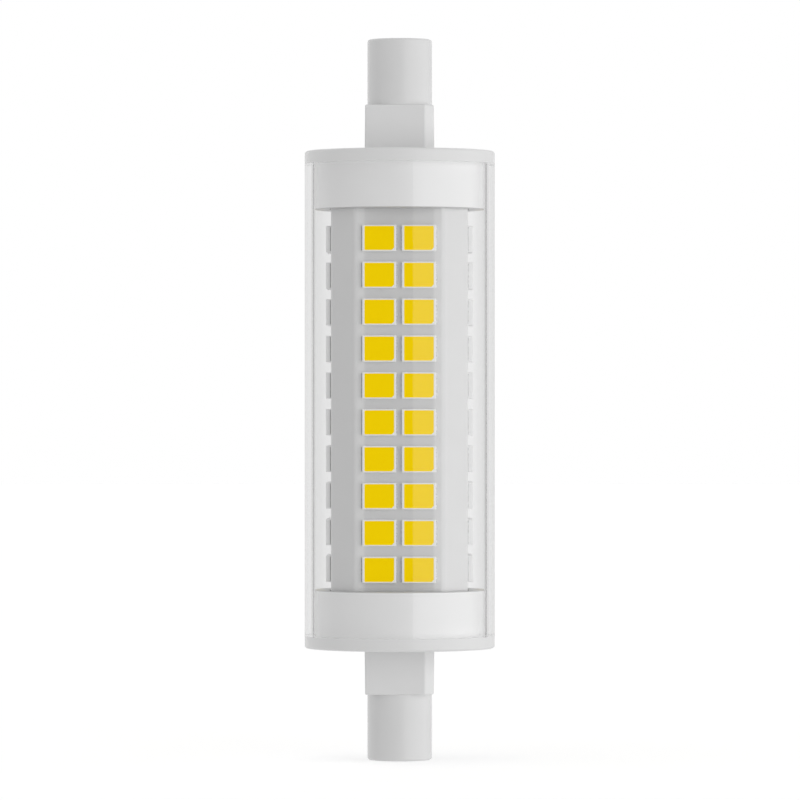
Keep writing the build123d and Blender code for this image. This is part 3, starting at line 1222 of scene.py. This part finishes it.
studio = {
    "fill": 0.37,  # light from all round
    "lean": 0.325,  # how much stronger it is from one side
    "leanTo": -68.0,  # that side, in degrees round from the camera to the right
    "ends": 0.45,  # soft lights above and below, and how steep they begin
    "endsFrom": 0.70,
    "endsTo": 0.85,
    "rear": 0.95,  # one at the rear, its half width in degrees and its fade in radians
    "rearHalf": 27.0,
    "rearFade": 0.1,
    "softbox": 1.18,  # the softbox on the right, and its sides in degrees
    "softboxFrom": 16.2,
    "softboxTo": 126.0,
    "softboxRise": 30.0,
    "softboxEdge": 0.8,
    "softboxFade": 0.15,  # at its far side, in radians
    "riseFade": 0.05,
    "darkFront": 0.012,  # around the camera
    "backdrop": 0.9,  # at the sides and behind the lamp
    "behindFrom": -0.1,
    "behindTo": 0.5,
    "farBackdrop": 0.76,  # straight behind it
    "farFrom": 0.75,
    "farTo": 0.9,
    "throughGlass": 0.85,
    "floorColour": 0.80,
    "floorBlotch": 40.0,
    "floorClouding": 0.005,
    "floorGlow": 0.47,
    "floorSize": 4000.0,
}


def studioWorld():
    world = bpy.data.worlds.new("studio")
    bpy.context.scene.world = world
    world.use_nodes = True
    tree = world.node_tree
    tree.nodes.clear()
    add, join = tree.nodes.new, tree.links.new

    def choose(factor, first, second):
        return calc(tree, "MULTIPLY_ADD", factor, calc(tree, "SUBTRACT", second, first), first)

    path = add("ShaderNodeLightPath").outputs
    x, y, z = split(tree, add("ShaderNodeTexCoord").outputs["Generated"])
    lean = math.radians(studio["leanTo"])
    forward = calc(tree, "MULTIPLY", y, -math.cos(lean))
    towards = calc(tree, "MULTIPLY_ADD", x, math.sin(lean), forward)
    soft = calc(tree, "MULTIPLY_ADD", towards, studio["lean"], studio["fill"])
    # the bearing is 0 towards the camera, and positive to its right
    bearing = calc(tree, "ARCTAN2", x, calc(tree, "MULTIPLY", y, -1.0))
    steep = calc(tree, "ABSOLUTE", z)
    rise = math.sin(math.radians(studio["softboxRise"]))
    upright = fade(tree, steep, rise + studio["riseFade"], rise - studio["riseFade"])
    near, nearFade = math.radians(studio["softboxFrom"]), math.radians(studio["softboxEdge"])
    far, farFade = math.radians(studio["softboxTo"]), studio["softboxFade"]
    begins = fade(tree, bearing, near - nearFade, near + nearFade)
    ends = fade(tree, bearing, far + farFade, far - farFade)
    softbox = product(tree, begins, ends, upright, studio["softbox"])
    rearEdge = math.pi - math.radians(studio["rearHalf"])
    turned = calc(tree, "ABSOLUTE", bearing)
    behindLamp = fade(tree, turned, rearEdge - studio["rearFade"], rearEdge + studio["rearFade"])
    rear = product(tree, behindLamp, upright, studio["rear"])
    poles = product(tree, fade(tree, steep, studio["endsFrom"], studio["endsTo"]), studio["ends"])
    lighting = calc(tree, "ADD", calc(tree, "ADD", soft, softbox), calc(tree, "ADD", rear, poles))

    # gloss sees a dark front, the softbox and a pale backdrop
    straight = fade(tree, y, studio["farFrom"], studio["farTo"])
    backdrop = choose(straight, studio["backdrop"], studio["farBackdrop"])
    behind = product(tree, fade(tree, y, studio["behindFrom"], studio["behindTo"]), backdrop)
    seen = calc(tree, "MAXIMUM", softbox, calc(tree, "MAXIMUM", behind, studio["darkFront"]))

    # straight through the glass, and to the camera, the background is plain
    unbounced = calc(tree, "LESS_THAN", path["Glossy Depth"], 0.5)
    through = product(tree, path["Is Transmission Ray"], unbounced)
    level = choose(path["Is Glossy Ray"], lighting, seen)
    level = choose(through, level, studio["throughGlass"])
    level = choose(path["Is Camera Ray"], level, 1.0)
    background = add("ShaderNodeBackground")
    background.inputs["Color"].default_value = (1, 1, 1, 1)
    join(level, background.inputs["Strength"])
    join(background.outputs["Background"], add("ShaderNodeOutputWorld").inputs["Surface"])


def paleFloor():
    half = studio["floorSize"] / 2 * mm
    mesh = bpy.data.meshes.new("paleFloor")
    corners = [(-half, -half, 0), (half, -half, 0), (half, half, 0), (-half, half, 0)]
    mesh.from_pydata(corners, [], [(0, 1, 2, 3)])
    floor = newObject("paleFloor", mesh)
    material, tree, shader, place = startMaterial("paleFloor")
    darkest = studio["floorColour"] - studio["floorClouding"]
    lightest = studio["floorColour"] + studio["floorClouding"]
    clouds = cloudNoise(tree, place, studio["floorBlotch"])
    tree.links.new(mottle(tree, clouds, grey(darkest), grey(lightest)), shader.inputs["Base Color"])
    shader.inputs["Roughness"].default_value = 1
    shader.inputs["Specular IOR Level"].default_value = 0
    # white to a camera above it, with the lamp's shadow kept; other rays go on to the studio below
    shader.inputs["Emission Color"].default_value = (1, 1, 1, 1)
    shader.inputs["Emission Strength"].default_value = studio["floorGlow"]
    path = tree.nodes.new("ShaderNodeLightPath").outputs
    facing = tree.nodes.new("ShaderNodeNewGeometry").outputs
    fromAbove = calc(tree, "GREATER_THAN", path["Is Camera Ray"], facing["Backfacing"])
    away = tree.nodes.new("ShaderNodeBsdfTransparent")
    mixToOutput(tree, fromAbove, away.outputs["BSDF"], shader.outputs["BSDF"])
    mesh.materials.append(material)


cameraSizes = {
    "distance": 607.0,
    "frameHeight": 86.69,  # what the picture takes in at the lamp
    "sensor": 36.0,
    "turn": 0.47,
    "aside": 0.03,
    "down": 0.03,
    "clipNear": 10.0,
    "clipFar": 50000.0,
}


def photoCamera():
    size = cameraSizes
    camera = bpy.data.cameras.new("photoCamera")
    camera.sensor_width = size["sensor"]
    camera.lens = size["sensor"] * size["distance"] / size["frameHeight"]
    camera.clip_start = size["clipNear"] * mm
    camera.clip_end = size["clipFar"] * mm
    holder = newObject("photoCamera", camera)
    turn = math.radians(size["turn"])
    aim = Vector((size["aside"], 0, lampLength / 2 - size["down"]))
    holder.location = (aim + Vector((math.sin(turn), -math.cos(turn), 0)) * size["distance"]) * mm
    holder.rotation_euler = (math.pi / 2, 0, turn)
    bpy.context.scene.camera = holder


studioWorld()
paleFloor()
photoCamera()
bpy.context.scene.view_settings.view_transform = "Standard"
print("stage set")
